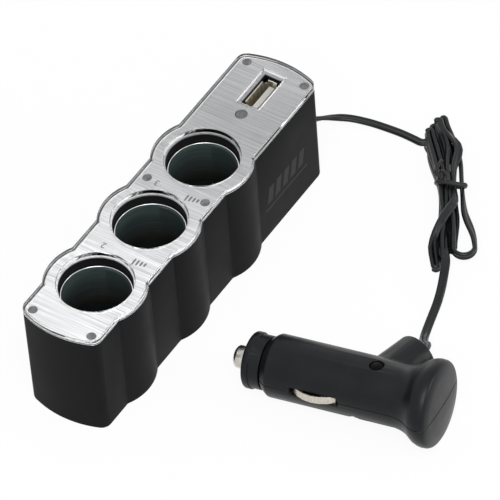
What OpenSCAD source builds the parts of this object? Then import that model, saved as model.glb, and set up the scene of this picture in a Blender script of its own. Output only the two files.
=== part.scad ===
// Three-way car power socket with a charging port, a flat lead folded in a hank, and its plug.
// X runs along the housing toward the port, Z is up, and the origin is under the housing's middle.

/* [Housing] */
// Overall length
housing_l = 134.8; // [130:0.1:142]
// Half width across the straight sides
side_half_w = 14.55; // [14.3:0.05:15.5]
// Radius of the round bay about each socket
bay_r = 16.94; // [16.5:0.02:18]
// Height of the black shell, up to the label plate
shell_h = 39.7; // [38:0.1:43]
// Distance between socket axes, as a share of the length
pitch_share = 0.23; // [0.225:0.001:0.24]
// From the near end to the first socket's axis, as a share of the length
near_share = 0.1773; // [0.17:0.0001:0.19]
// Radius of the curved ends
end_r = 35; // [30:0.5:45]
// Radius of the upright corners
corner_r = 3.5; // [3:0.1:4.5]
// Wall thickness
wall = 1.8; // [1.5:0.1:2]
// Thickness of the deck under the label plate
deck_t = 1.8; // [1.5:0.1:2.2]
// Thickness of the base cover
base_t = 1.8; // [1.5:0.1:2.2]
// How far the base cover is let in
base_recess = 0.4; // [0.2:0.1:0.8]

/* [Cover and label] */
// Thickness of the clear cover
cover_t = 2.4; // [2:0.1:3.2]
// Radius of the cover's holes over the sockets
cover_hole_r = 12.5; // [12.2:0.05:12.8]
// Chamfer round those holes
hole_chamfer = 0.35; // [0.1:0.05:0.5]
// Thickness of the brushed label plate
label_t = 0.5; // [0.3:0.05:0.8]
// How far the plate stays inside the outline
label_inset = 1; // [0.8:0.05:1.4]
// Radius of the cover's pegs
peg_r = 1.5; // [1.2:0.05:1.6]
// Length of the pegs below the deck's face
peg_l = 1.4; // [1:0.1:1.4]
// From the housing's ends to the end pegs
peg_margin = 5; // [4.8:0.1:6]
// From the middle line to the pegs
peg_y = 11.1; // [10.6:0.1:11.3]

/* [Sockets] */
// Radius of the well's mouth
well_r = 12.1; // [12.05:0.01:12.3]
// Wall of the well round its mouth
well_wall = 0.95; // [0.9:0.05:1.4]
// Height of the well's foot over the base cover
well_lift = 5.8; // [4:0.2:10]
// Depth of the metal lip below the deck's face
lip_drop = 3.2; // [2.6:0.1:4.2]
// Bore radius of the metal liner
bore_r = 10.95; // [10.9:0.01:11]
// Thickness of the liner's sheet
liner_t = 0.5; // [0.4:0.05:0.52]
// Height of the liner
liner_l = 17; // [14:0.5:20]
// Radius of the liner's lip
lip_r = 11.85; // [11.75:0.01:11.95]
// Widening of the liner at its mouth
mouth_flare = 0.4; // [0.2:0.05:0.5]
// Bore radius of the insulating cup
cup_bore_r = 9.8; // [9.6:0.05:9.9]
// Floor thickness of the cup
cup_floor = 2; // [1.5:0.1:2.5]
// Height of the lead-in at the cup's rim
cup_lead = 2; // [1:0.1:3]
// Width of the ground tab
tab_w = 5; // [3:0.1:6]
// Radius of the centre contact
contact_r = 4.5; // [3.5:0.1:5.5]
// Radius of the centre contact's rivet
rivet_r = 1.9; // [1.4:0.1:2.2]

/* [Bus strips] */
// Thickness of the bus strips
bus_t = 0.5; // [0.4:0.05:0.8]
// Half width of the positive strip
bus_half_w = 2.6; // [2.2:0.1:3]
// Width of the ground strip's spine
spine_w = 2; // [1.5:0.1:2.1]

/* [Charging port] */
// Distance of the port's axis from the port end, as a share of the length
port_share = 0.1016; // [0.098:0.0002:0.105]
// Length of the port's window
window_l = 15.2; // [14.6:0.1:15.8]
// Width of the port's window
window_w = 6.9; // [6.6:0.1:7.4]
// How far the cover's window stands back from the plate's
window_rim = 0.8; // [0.4:0.1:1]
// Length of the port's metal shell
port_l = 13.1; // [12.8:0.1:13.3]
// Width of the port's metal shell
port_w = 5.7; // [5.5:0.1:5.9]
// Sheet of the port's metal shell
port_t = 0.4; // [0.3:0.05:0.5]
// Drop of the port's lips below the deck's face
port_drop = 0.6; // [0.5:0.1:1.4]
// Height of the port's metal shell
port_h = 14.2; // [12:0.1:15]
// Thickness of the converter board
board_t = 1.6; // [1:0.1:1.6]
// Distance of the light from the port's axis, as a share of the length
led_share = 0.0898; // [0.086:0.0002:0.092]
// Radius of the light
led_r = 1.95; // [1.5:0.05:2]

/* [Lead] */
// Width of the flat lead
cord_w = 3; // [2.6:0.1:3.1]
// Thickness of the flat lead
cord_t = 1.5; // [1.3:0.05:1.6]
// Height of the lead's outlet
outlet_z = 8; // [7:0.1:10]
// Radius of the outlet's collar
collar_r = 3.9; // [3.6:0.1:4.2]
// How far the collar stands out
collar_l = 2.5; // [1.5:0.1:3.5]
// Radius of the collar's neck in the wall
neck_r = 3; // [2.8:0.05:3.2]

/* [Plug] */
// Radius of the wide flange
flange_r = 14.45; // [13.5:0.05:15]
// Radius of the barrel
barrel_r = 10.4; // [10:0.05:10.6]
// From the flange's rim to the barrel's front
barrel_l = 57.6; // [56:0.1:60]
// Radius of the lead's boss at its end
boss_r = 7.36; // [6.8:0.02:7.8]
// From the barrel's axis to the boss's end
boss_reach = 20.6; // [18:0.1:22]
// Where the boss crosses the barrel
boss_s = 21; // [20:0.1:24]
// Lean of the boss away from square
boss_lean = 17; // [10:0.5:20]
// Radius of the nose cap
cap_r = 8.9; // [8.6:0.05:9.1]
// Radius of the nose cap's front ring
ring_r = 9.35; // [9.2:0.05:9.6]
// Length of the nose cap
cap_l = 6; // [5.5:0.1:6.5]
// Radius of the contact tip
tip_r = 3.8; // [3.4:0.05:4]
// How far the tip stands out of the cap
tip_out = 6; // [5:0.1:7]
// Spring travel of the tip
tip_travel = 2.2; // [1.5:0.1:2.4]
// Length of the fuse
fuse_l = 30; // [28:0.5:31]
// Radius of the fuse's end caps
fuse_r = 3.15; // [3:0.05:3.2]
// Radius of the plug's light
plug_led_r = 2.3; // [2:0.05:2.5]
// Width of the side contacts
side_w = 2.7; // [2.2:0.1:3]
// Sheet of the side contacts
side_t = 0.5; // [0.4:0.05:0.6]

/* [Hidden] */
$fn = 96;
over = 1;          // overrun of every cut
fit = 0.08;        // clearance of pieces that slide into each other
gap = 0.15;        // clearance of pieces laid into a recess
half = 0.5;        // a middle, as a share

socket_pitch = housing_l * pitch_share;
socket_xs = [for (i = [0, 1, 2]) housing_l * (near_share - half) + i * socket_pitch];
near_x = socket_xs[0];
mid_x = (socket_xs[1] + socket_xs[2]) / 2;
end_x = housing_l / 2;
port_x = end_x - housing_l * port_share;
led_x = port_x - housing_l * led_share;
base_top = base_recess + base_t;
deck_z = shell_h - deck_t;
lip_z = shell_h - lip_drop;
ledge_z = lip_z - liner_t;
liner_z = lip_z - liner_l;
liner_r = bore_r + liner_t;
bus_top = base_top + bus_t;
tab_out = sqrt(pow(liner_r, 2) - pow(tab_w / 2, 2));
pegs = [for (x = [-end_x + peg_margin, mid_x, end_x - peg_margin], y = [-peg_y, peg_y]) [x, y]];
pillar_r = wall * 35 / 18;
pillar_shift_x = wall * 7 / 9;
pillar_y = peg_y - wall * 5 / 6;
pillar_end_x = end_x - peg_margin - pillar_shift_x;
pillars = [for (x = [-pillar_end_x, mid_x, pillar_end_x], y = [-pillar_y, pillar_y]) [x, y]];

// Base screws
screw_r = 1.1;
screw_l = 9;
head_r = 2;
head_h = 0.9;
slot_w = 0.6;
slot_deep = 0.5;

// Converter board, under the deck and beside the last socket
port_z = shell_h - port_drop - port_h;
board_z = port_z - board_t;
board_space = 2.45;
board_end = 2.2;
board_near = socket_xs[2] + well_r + well_wall + board_space;
board_wide_far = pillar_end_x - pillar_r - gap * 6;
board_far = end_x - wall - board_end;
board_half_w = 11.4;
board_tail_half_w = 5.6;
post_r = 2.5;
post_y = 8;
post_in = 3;
post_x = board_near + post_in;
small_screw_r = 0.9;
small_screw_l = 6;
small_head_r = 1.8;
small_head_h = 0.9;

// Flat lead's section, as shares of its half width and half thickness
lead_shares = [[1, 0], [0.62, 1], [0, 0.62], [-0.62, 1], [-1, 0], [-0.62, -1], [0, -0.62], [0.62, -1]];
wound_shares = [[1, 0.35], [0, 1], [-1, 0.35], [-1, -0.35], [0, -1], [1, -0.35]];
wire_r = 0.6;
lie_z = cord_w / 2 + 0.05;
// Free stretches: from the outlet to the hank, and from the hank to the plug
out_route = [[74, -0.5, 7.5], [80, -2.6, 4.9], [85, -5.6, 2.6], [88.4, -10.4, 1.7],
    [90.4, -17, 1.55], [91.3, -23, 1.55], [91.6, -28.5, 1.55], [91.3, -33.4, 1.55],
    [90.9, -37.2, 1.55]];
in_route = [[46.5, -73.3, 5], [42.3, -75.2, 4.5], [37.7, -76.9, 2.8], [33, -78.2, 1.2],
    [27.5, -79.6, 0.9], [21.9, -81.1, 0.9], [17.4, -82.7, 1.7], [13.6, -85.2, 4.6], [10.8, -88, 8]];
// Share of the turn from upright to flat along that stretch, ring by ring
flat_shares = [0, 0.1, 0.3, 0.5, 0.7, 0.9, 1];

// Hank: nine runs side by side in two rows, tied at the waist
hank_at = [101, -36];
hank_turn = 215.6;
waist_s = 33;
lane_gap = 0.45;
lane = cord_t + lane_gap;
row = cord_w + lane_gap;
first_lane = -0.75;
tie_t = 0.6;
tie_w = 1.4;
tie_gap = 0.3;
hank_lift = 0.7;
lift_reach = 8;
// Each run: lane and row at the waist, row at the top, row at the bottom, place at the top, at the bottom
runs = [[0, 0, 0, 0, -2.6, -5.4], [1, 0, 0, 0, -0.9, -2], [2, 0, 0, 0, 1.5, 0.2],
    [3, 0, 0, 0, 3.5, 3], [4, half, 0, 1, 5.9, 8.6], [3, 1, 1, 1, 3.5, 1.4],
    [0, 1, 1, 1, -3, -5.2], [1, 1, 1, 1, -0.9, -2.9], [2, 1, 1, 1, 1.5, -0.9]];
// Where each run's fold turns, at the top and at the bottom
top_turn = [14.5, 3, 3, -0.9, -0.9, 2.2, 2.2, 4.2, 4.2];
low_turn = [65.5, 65.5, 60.6, 60.6, 59.4, 59.4, 60, 60, 60];
run_steps = [1, 2 / 3, 1 / 3, 0];
fold_steps = 6;

// Plug's pose: it lies on its flange and on the barrel's front edge
plug_at = [-13.58, -106.71];
plug_turn = 98.8;
plug_roll = 7.5;
rest_gap = 0.03;
rim_s = flange_r * 0.1;
front_s = barrel_l * 0.958;
plug_tilt = atan((flange_r - barrel_r) / (front_s - rim_s));
plug_z = rim_s * sin(plug_tilt) + flange_r * cos(plug_tilt) + rest_gap;
// Outline from the dome to the barrel's front: places along the barrel's and radii as the flange's shares
dome_shares = [[-0.038, 0], [-0.037, 0.35], [-0.032, 0.68], [-0.026, 0.9], [-0.016, 0.968], [0, 0.994],
    [0.025, 1], [0.045, 0.985], [0.069, 0.95], [0.084, 0.91], [0.1, 0.862], [0.122, 0.805],
    [0.149, 0.76], [0.172, 0.736]];
nose_chamfer_share = 0.042;
collar_front = barrel_l + cap_l - 2.6;
screw_collar_r = cap_r - 1.5;
groove = 0.35;
cap_back = barrel_l + groove;
cap_front = cap_back + cap_l;
ring_share = 0.4;
washer_t = 0.8;
washer_front = cap_front - 2;
flange_t = 1.2;
tip_flange_r = 5.5;
tip_flange_front = washer_front - washer_t;
tip_flange_back = tip_flange_front - flange_t;
chamber_r = fuse_r + 0.45;
chamber_back = 20;
plate_t = 0.6;
fuse_back = tip_flange_back - fuse_l;
fuse_cap_l = 5.5;
spring_back = chamber_back + plate_t;
spring_r = 2.4;
spring_wire_r = 0.4;
spring_turns = 5;
boss_flare = 0.04;
cord_in = 6;
rear_r = 8;
rear_back = 1.8;
rear_front = chamber_back - 1.5;
plug_led_s = 20;
plug_led_deep = 5;
plug_screw_at = [25.5, 6.8];
plug_screw_r = 1;
plug_head_r = 1.9;
plug_head_z = -5.6;
plug_screw_top = 4.5;
// Side contacts: hinge place, then the strip's line, along the barrel and out from its axis
side_pin = [31.4, 8.4];
pin_r = 0.5;
curl_r = 1.05;
side_line = [[31.4, 9.2], [33.2, 10.2], [35.6, 11.05], [38.4, 11.35], [41.2, 10.95], [43.6, 9.95], [45.2, 8.9]];
pocket_back = 29.6;
pocket_front = 46.4;
pocket_floor = 5.5;

// Frames and curves
function plug_spin(v) =
    let (a = [v[0], v[1] * cos(plug_roll) - v[2] * sin(plug_roll), v[1] * sin(plug_roll) + v[2] * cos(plug_roll)])
    let (b = [a[0] * cos(plug_tilt) + a[2] * sin(plug_tilt), a[1], a[2] * cos(plug_tilt) - a[0] * sin(plug_tilt)])
    [b[0] * cos(plug_turn) - b[1] * sin(plug_turn), b[0] * sin(plug_turn) + b[1] * cos(plug_turn), b[2]];
barrel_way = plug_spin([1, 0, 0]);
function plug_point(v) = [plug_at[0], plug_at[1], plug_z] + plug_spin(v);
function boss_point(out) = plug_point([boss_s - out * sin(boss_lean), -out * cos(boss_lean), 0]);
function hank_point(s, t, z) = [hank_at[0] + s * cos(hank_turn) - t * sin(hank_turn),
    hank_at[1] + s * sin(hank_turn) + t * cos(hank_turn), z];
function ease(u) = u * u * (3 - 2 * u);
function unit(v) = v / norm(v);
function spline(a, b, c, d, u) = (2 * b + (c - a) * u + (2 * a - 5 * b + 4 * c - d) * u * u
    + (3 * b - a - 3 * c + d) * u * u * u) / 2;
// A smooth line through points, with some steps between each two
function smooth(p, steps) = let (n = len(p)) concat([for (i = [0:n - 2], k = [0:steps - 1])
    spline(p[max(i - 1, 0)], p[i], p[i + 1], p[min(i + 2, n - 1)], k / steps)], [p[n - 1]]);
function slope(p, i) = unit(p[min(i + 1, len(p) - 1)] - p[max(i - 1, 0)]);
function upright(v) = unit([0, 0, 1] - v * v[2]);
// One ring of the lead's section: wide side upright, or turned by a share toward lying along the barrel
function wide_way(v, flat) = let (a = upright(v), b = unit(barrel_way - v * (v * barrel_way))) unit(a * (1 - flat) + b * flat);
function ring_at(p, i, shape, flats) = let (v = slope(p, i), u = wide_way(v, flats[min(i, len(flats) - 1)]), w = cross(v, u))
    [for (s = shape) p[i] + s[0] * cord_w / 2 * u + s[1] * cord_t / 2 * w];

// Faces of a closed tube with m rings of n points
function tube_faces(m, n) = concat([[for (k = [0:n - 1]) k]],
    [for (i = [0:m - 2], k = [0:n - 1]) [i * n + k, (i + 1) * n + k, i * n + (k + 1) % n]],
    [for (i = [0:m - 2], k = [0:n - 1]) [(i + 1) * n + k, (i + 1) * n + (k + 1) % n, i * n + (k + 1) % n]],
    [[for (k = [n - 1:-1:0]) (m - 1) * n + k]]);

module ribbon(p, shape, flats = [0]) polyhedron(points = [for (i = [0:len(p) - 1]) each ring_at(p, i, shape, flats)],
    faces = tube_faces(len(p), len(shape)));

// Hank's line: runs joined by half circles
function run_z(r, u, below) = let (w = r[1] * row, e = (below ? r[3] : r[2]) * row) w + (e - w) * ease(u);
function run_point(i, u, below) = let (r = runs[i], e = below ? low_turn[i] : top_turn[i],
    s = waist_s + (e - waist_s) * u, w = first_lane + r[0] * lane, t = w + ((below ? r[5] : r[4]) - w) * ease(u),
    lift = hank_lift * exp(-pow((s - waist_s) / lift_reach, 2)))
    hank_point(s, t, lie_z + run_z(r, u, below) + lift);
function run_down(i) = concat([for (u = run_steps) run_point(i, u, false)],
    [for (k = [2:-1:0]) run_point(i, run_steps[k], true)]);
function run_line(i) = let (d = run_down(i)) i % 2 == 0 ? d : [for (k = [len(d) - 1:-1:0]) d[k]];
function fold(i) = let (below = i % 2 == 0, a = runs[i][below ? 5 : 4], b = runs[i + 1][below ? 5 : 4],
    s = below ? low_turn[i] : top_turn[i], z = lie_z + runs[i][below ? 3 : 2] * row, side = below ? 1 : -1,
    r = abs(a - b) / 2) [for (k = [1:fold_steps - 1]) let (q = 180 * k / fold_steps)
    hank_point(s + side * r * sin(q), (a + b) / 2 + (a - b) / 2 * cos(q), z)];
last_run = len(runs) - 1;
hank_in = hank_point(top_turn[0] - cord_w, runs[0][4], lie_z);
hank_out = hank_point(low_turn[last_run] + cord_w, runs[last_run][5], lie_z + row);
hank_line = concat([hank_in], [for (i = [0:last_run]) each concat(run_line(i), i < last_run ? fold(i) : [])],
    [hank_out]);
function apart(a, b) = let (f = norm([a[0] - b[0], a[1] - b[1]]) - cord_t, h = abs(a[2] - b[2]) - cord_w)
    h <= 0 ? f : f <= 0 ? h : norm([f, h]);
hank_gap = min([for (i = [0:len(hank_line) - 5], j = [i + 4:len(hank_line) - 1]) apart(hank_line[i], hank_line[j])]);
function line_l(p) = len(p) < 2 ? 0 : [for (i = 0, s = 0; i < len(p); s = s + (i < len(p) - 1
    ? norm(p[i + 1] - p[i]) : 0), i = i + 1) s][len(p) - 1];
echo(str("least gap of the hank to itself, mm: ", hank_gap));

grommet_in = end_x - wall - 1.4;
out_line = smooth(concat([[grommet_in, 0, outlet_z], [end_x + collar_l, 0, outlet_z]], out_route,
    [hank_point(top_turn[0] - 2 * cord_w, runs[0][4], lie_z), hank_in]), 2);
in_line = smooth(concat([hank_out], in_route, [boss_point(boss_reach + cord_w), boss_point(boss_reach),
    boss_point(boss_reach - cord_in)]), 2);
echo(str("lead's length, mm: ", line_l(out_line) + line_l(hank_line) + line_l(in_line)));

// The housing's outline raised to a height and drawn in by a distance
function arc(c, r, a, b) = [for (k = [0:6]) c + r * [cos(a + (b - a) * k / 6), sin(a + (b - a) * k / 6)]];
module prism(h, inset = 0) {
    w = side_half_w - inset;
    r = corner_r - inset;
    big = end_r - inset;
    cx = end_x - end_r;
    px = cx + sqrt(pow(big - r, 2) - pow(w - r, 2));
    turn = asin((w - r) / (big - r));
    corner = concat(arc([px, w - r], r, 90, turn), arc([cx, 0], big, turn - 1, 0));
    quarter = [for (k = [0:len(corner) - 2]) corner[k]];
    tip = [[cx + big, 0]];
    far = concat(quarter, tip, [for (k = [len(quarter) - 1:-1:0]) [quarter[k][0], -quarter[k][1]]]);
    union() {
        linear_extrude(h) polygon(concat(far, [for (q = far) [-q[0], -q[1]]]));
        at_sockets() cylinder(r = bay_r - inset, h = h);
    }
}

module at_sockets() for (x = socket_xs) translate([x, 0, 0]) children();
module at_plug() translate([plug_at[0], plug_at[1], plug_z]) rotate([plug_roll, plug_tilt, plug_turn]) children();
module along_x() rotate([0, 90, 0]) children();
module turned(profile) along_x() rotate_extrude() polygon(profile);
module block(size, at) translate(at - size / 2) cube(size);

// Shell with its deck, wells, pillars and posts
module housing_shell() color([0.17, 0.17, 0.18]) difference() {
    union() {
        difference() {
            prism(shell_h);
            translate([0, 0, -over]) prism(deck_z + over, wall);
        }
        at_sockets() translate([0, 0, base_top + well_lift])
            cylinder(r = well_r + well_wall, h = deck_z - base_top - well_lift + deck_t / 2);
        for (p = pillars) translate([p[0], p[1], base_top]) cylinder(r = pillar_r, h = deck_z - base_top + deck_t / 2);
        for (y = [-post_y, post_y]) translate([post_x, y, port_z])
            cylinder(r = post_r, h = deck_z - port_z + deck_t / 2);
    }
    at_sockets() {
        translate([0, 0, ledge_z]) cylinder(r = well_r, h = shell_h);
        translate([0, 0, -over]) cylinder(r = liner_r + fit, h = shell_h);
    }
    for (p = pegs) translate([p[0], p[1], shell_h - peg_l - gap]) cylinder(r = peg_r + fit, h = peg_l + over);
    for (p = pillars) translate([p[0], p[1], base_top - over]) cylinder(r = screw_r + fit, h = screw_l + over);
    for (y = [-post_y, post_y]) translate([post_x, y, port_z - over])
        cylinder(r = small_screw_r + fit, h = small_screw_l + over);
    block([window_l, window_w, deck_t * 4], [port_x, 0, shell_h]);
    translate([led_x, 0, deck_z - over]) cylinder(r = led_r + fit, h = deck_t + over * 2);
    translate([end_x - wall * 2, 0, outlet_z]) along_x() cylinder(r = neck_r + fit, h = wall * 3);
}

// Base cover with its counterbored screw holes
module base_cover() color([0.15, 0.15, 0.16]) difference() {
    translate([0, 0, base_recess]) prism(base_t, wall + gap);
    for (p = pillars) translate([p[0], p[1], base_recess]) {
        translate([0, 0, -over]) cylinder(r = screw_r + gap, h = base_t + over * 2);
        translate([0, 0, -over]) cylinder(r = head_r + gap, h = head_h + over);
    }
}

module cross_slot(r, deep) {
    block([r * 1.3, slot_w, deep * 2], [0, 0, 0]);
    block([slot_w, r * 1.3, deep * 2], [0, 0, 0]);
}

module base_screws() color([0.7, 0.7, 0.72])
    for (p = pillars) translate([p[0], p[1], base_recess + head_h]) difference() {
        union() {
            translate([0, 0, -head_h + fit]) cylinder(r = head_r, h = head_h - fit);
            cylinder(r = screw_r, h = screw_l);
        }
        translate([0, 0, -head_h + fit]) cross_slot(head_r, slot_deep);
    }

// Brushed plate under the clear cover
module label_plate() color([0.82, 0.82, 0.83]) translate([0, 0, shell_h]) difference() {
    prism(label_t, label_inset);
    at_sockets() translate([0, 0, -over]) cylinder(r = well_r, h = label_t + over * 2);
    for (p = pegs) translate([p[0], p[1], -over]) cylinder(r = peg_r + fit, h = label_t + over * 2);
    block([window_l, window_w, label_t * 4], [port_x, 0, 0]);
    translate([led_x, 0, -over]) cylinder(r = led_r + gap, h = label_t + over * 2);
}

module clear_cover() color([0.85, 0.87, 0.88, 0.5]) translate([0, 0, shell_h]) difference() {
    union() {
        difference() {
            prism(cover_t);
            translate([0, 0, -over]) prism(label_t + gap + over, label_inset - gap);
        }
        for (p = pegs) translate([p[0], p[1], -peg_l]) cylinder(r = peg_r, h = peg_l + cover_t / 2);
    }
    at_sockets() {
        translate([0, 0, -over]) cylinder(r = cover_hole_r, h = cover_t + over * 2);
        translate([0, 0, cover_t - hole_chamfer])
            cylinder(r1 = cover_hole_r, r2 = cover_hole_r + hole_chamfer * 2, h = hole_chamfer * 2);
    }
    block([window_l + window_rim * 2, window_w + window_rim * 2, cover_t * 4], [port_x, 0, 0]);
}

// Metal liner: lip, flared mouth, bore and the tab that goes down to the ground strip
module socket_liner(i) color([0.75, 0.76, 0.78]) translate([socket_xs[i], 0, 0]) {
    rotate_extrude() polygon([[bore_r, liner_z], [liner_r, liner_z], [liner_r, ledge_z], [lip_r, ledge_z],
        [lip_r, lip_z], [bore_r + mouth_flare, lip_z], [bore_r, lip_z - mouth_flare * 2]]);
    difference() {
        translate([-tab_w / 2, tab_out - liner_t, bus_top]) cube([tab_w, liner_t, liner_z + liner_t - bus_top]);
        translate([0, 0, liner_z]) cylinder(r = bore_r, h = liner_l);
    }
}
module socket_liner_1() socket_liner(0);
module socket_liner_2() socket_liner(1);
module socket_liner_3() socket_liner(2);

// Insulating cup under the liner
module socket_cup(i) color([0.14, 0.15, 0.15]) translate([socket_xs[i], 0, 0]) difference() {
    rotate_extrude() polygon([[rivet_r + fit, bus_top], [liner_r, bus_top], [liner_r, liner_z],
        [bore_r - fit, liner_z], [cup_bore_r, liner_z - cup_lead], [cup_bore_r, bus_top + cup_floor],
        [rivet_r + fit, bus_top + cup_floor]]);
    translate([-tab_w / 2 - fit, tab_out - liner_t - fit, 0]) cube([tab_w + fit * 2, liner_r, shell_h]);
}
module socket_cup_1() socket_cup(0);
module socket_cup_2() socket_cup(1);
module socket_cup_3() socket_cup(2);

// Riveted centre contacts, one per socket
module centre_contacts() color([0.8, 0.68, 0.4]) at_sockets() translate([0, 0, bus_top]) rotate_extrude()
    polygon([[0, 0], [rivet_r, 0], [rivet_r, cup_floor], [contact_r, cup_floor],
        [contact_r, cup_floor + liner_t], [rivet_r, cup_floor + liner_t * 2], [rivet_r * half, cup_floor + liner_t * 3],
        [0, cup_floor + liner_t * 3]]);

bus_near = near_x - liner_r * half;
bus_far = board_near + post_r * 2;
module positive_bus() color([0.8, 0.68, 0.4]) translate([bus_near, -bus_half_w, base_top])
    cube([bus_far - bus_near, bus_half_w * 2, bus_t]);

spine_y = pillar_y - pillar_r - gap * 2 - spine_w;
module ground_bus() color([0.8, 0.68, 0.4]) translate([0, 0, base_top]) {
    translate([bus_near, spine_y, 0]) cube([bus_far - bus_near, spine_w, bus_t]);
    for (x = socket_xs) translate([x - tab_w / 2, spine_y, 0]) cube([tab_w, liner_r + liner_t - spine_y, bus_t]);
}

// Converter board and what stands on it
module converter_board() color([0.1, 0.35, 0.2]) difference() {
    translate([0, 0, board_z]) {
        translate([board_near, -board_half_w, 0]) cube([board_wide_far - board_near, board_half_w * 2, board_t]);
        translate([board_near, -board_tail_half_w, 0]) cube([board_far - board_near, board_tail_half_w * 2, board_t]);
    }
    for (y = [-post_y, post_y]) translate([post_x, y, board_z - over])
        cylinder(r = small_screw_r + gap, h = board_t + over * 2);
}

module board_screws() color([0.7, 0.7, 0.72])
    for (y = [-post_y, post_y]) translate([post_x, y, board_z]) difference() {
        union() {
            translate([0, 0, -small_head_h]) cylinder(r = small_head_r, h = small_head_h);
            cylinder(r = small_screw_r, h = small_screw_l + board_t);
        }
        translate([0, 0, -small_head_h]) cross_slot(small_head_r, slot_deep);
    }

// The port's shell ends in four lips that lean outward and leave the corners open
port_lip_h = port_t * 3;
port_lip_out = port_t * 0.9;
port_body_h = port_h - port_lip_h;
module port_lip(l) rotate([90, 0, 0]) linear_extrude(l, center = true)
    polygon([[-port_t, 0], [0, 0], [port_lip_out, port_lip_h], [port_lip_out - port_t, port_lip_h]]);
module port_shell() color([0.85, 0.83, 0.76]) translate([port_x, 0, port_z]) {
    difference() {
        translate([-port_l / 2, -port_w / 2, 0]) cube([port_l, port_w, port_body_h]);
        translate([port_t - port_l / 2, port_t - port_w / 2, port_t])
            cube([port_l - port_t * 2, port_w - port_t * 2, port_h]);
        for (x = [-port_l / 4, port_l / 4])
            block([port_l / 8, port_w * 2, port_h / 3], [x, 0, port_h * half]);
    }
    for (m = [1, -1]) {
        translate([m * port_l / 2, 0, port_body_h]) rotate([0, 0, m > 0 ? 0 : 180]) port_lip(port_w * 0.6);
        translate([0, m * port_w / 2, port_body_h]) rotate([0, 0, m * 90]) port_lip(port_l * 0.8);
    }
}

// Insulator: a block at the bottom and the tongue that carries the contacts
tongue_t = port_w / 3;
tongue_side = -port_w / 10;
module port_tongue() color([0.9, 0.9, 0.87]) translate([port_x, 0, port_z + port_t]) {
    translate([port_t + fit - port_l / 2, port_t + fit - port_w / 2, 0])
        cube([port_l - (port_t + fit) * 2, port_w - (port_t + fit) * 2, port_h / 4]);
    translate([-port_l * 0.4, tongue_side - tongue_t / 2, 0]) cube([port_l * 0.8, tongue_t, port_h * 0.9]);
}

pad_t = port_t / 2;
module port_contacts() color([0.85, 0.72, 0.4])
    for (i = [0 : 3]) block([port_l / 13, pad_t, port_h * 0.55],
        [port_x + (i - 1.5) * port_l * 0.17, tongue_side + tongue_t / 2 + pad_t / 2, port_z + port_h * 0.62]);

chip = [5, 4, 1.5];
coil_r = 4;
coil_h = 5;
can_r = 3.1;
can_h = 8;
module converter_parts() color([0.2, 0.2, 0.22]) {
    block(chip, [post_x + post_r + gap * 4 + chip[0] / 2, board_half_w - chip[1], port_z + chip[2] / 2]);
    translate([port_x - coil_r, -coil_r * 1.6, board_z - coil_h]) cylinder(r = coil_r, h = coil_h);
    translate([board_near + wall + wire_r * 2 + can_r + gap * 2, 0, board_z - can_h]) cylinder(r = can_r, h = can_h);
    translate([port_x - can_r * 1.4, can_r * 1.9, board_z - can_h]) cylinder(r = can_r, h = can_h);
}

led_flange = 0.45;
led_flange_t = 1;
led_leg_r = 0.3;
led_leg_y = 0.9;
led_dome = led_r * 0.75;
led_top = shell_h + label_t - gap;
module power_light() color([0.6, 0.6, 0.62]) translate([led_x, 0, 0]) {
    rotate_extrude() polygon([[0, deck_z - led_flange_t], [led_r + led_flange, deck_z - led_flange_t],
        [led_r + led_flange, deck_z], [led_r, deck_z], [led_r, led_top - led_r / 4], [led_dome, led_top], [0, led_top]]);
    for (y = [-led_leg_y, led_leg_y]) translate([0, y, port_z])
        cylinder(r = led_leg_r, h = deck_z - port_z - led_flange_t / 2);
}

// Rubber collar that holds the lead in the end wall, whose inner face is curved
collar_seat = end_x - end_r + sqrt(pow(end_r - wall, 2) - pow(collar_r, 2)) - fit;
module cord_grommet() color([0.12, 0.12, 0.13]) translate([0, 0, outlet_z]) difference() {
    turned([[0, grommet_in], [collar_r, grommet_in], [collar_r, collar_seat], [neck_r, collar_seat],
        [neck_r, end_x], [collar_r, end_x], [collar_r * 0.9, end_x + collar_l], [0, end_x + collar_l]]);
    block([collar_l * 8, cord_t + fit * 2, cord_w + fit * 2], [end_x, 0, 0]);
}

// A round wire through some points
function round_shares(n) = [for (k = [0:n - 1]) [cos(360 * k / n), sin(360 * k / n)]];
function any_side(v) = unit(cross(v, abs(v[2]) > half ? [1, 0, 0] : [0, 0, 1]));
module wire(p, r) {
    m = len(p);
    shape = round_shares(6);
    polyhedron(
        points = [for (i = [0:m - 1]) let (v = slope(p, i), u = any_side(v), w = cross(v, u))
            each [for (q = shape) p[i] + r * (q[0] * u + q[1] * w)]],
        faces = tube_faces(m, 6));
}

wire_z = bus_top + wire_r;
module inner_leads() color([0.5, 0.1, 0.1]) {
    wire([[grommet_in, 0, outlet_z + wire_r * 1.2], [end_x - wall * 5, 0, outlet_z + wire_r * 1.2],
        [bus_far + wall, 0, wire_z], [bus_far - wall, 0, wire_z]], wire_r);
    wire([[grommet_in, 0, outlet_z - wire_r * 1.2], [end_x - wall * 4, 0, outlet_z - wire_r * 1.2],
        [bus_far + wall, spine_y + spine_w / 2, wire_z], [bus_far - wall, spine_y + spine_w / 2, wire_z]], wire_r);
    wire([[board_near + wall, 0, bus_top], [board_near + wall, 0, board_z]], wire_r);
    wire([[board_near + wall * 1.2, spine_y + spine_w / 2, bus_top],
        [board_near + wall * 1.2, spine_y + spine_w / 2, board_z]], wire_r);
}

module cord_to_hank() color([0.13, 0.13, 0.13]) ribbon(out_line, lead_shares);
module cord_hank() color([0.13, 0.13, 0.13]) ribbon(hank_line, wound_shares);
module cord_to_plug() color([0.13, 0.13, 0.13]) ribbon(in_line, lead_shares, flat_shares);

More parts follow.
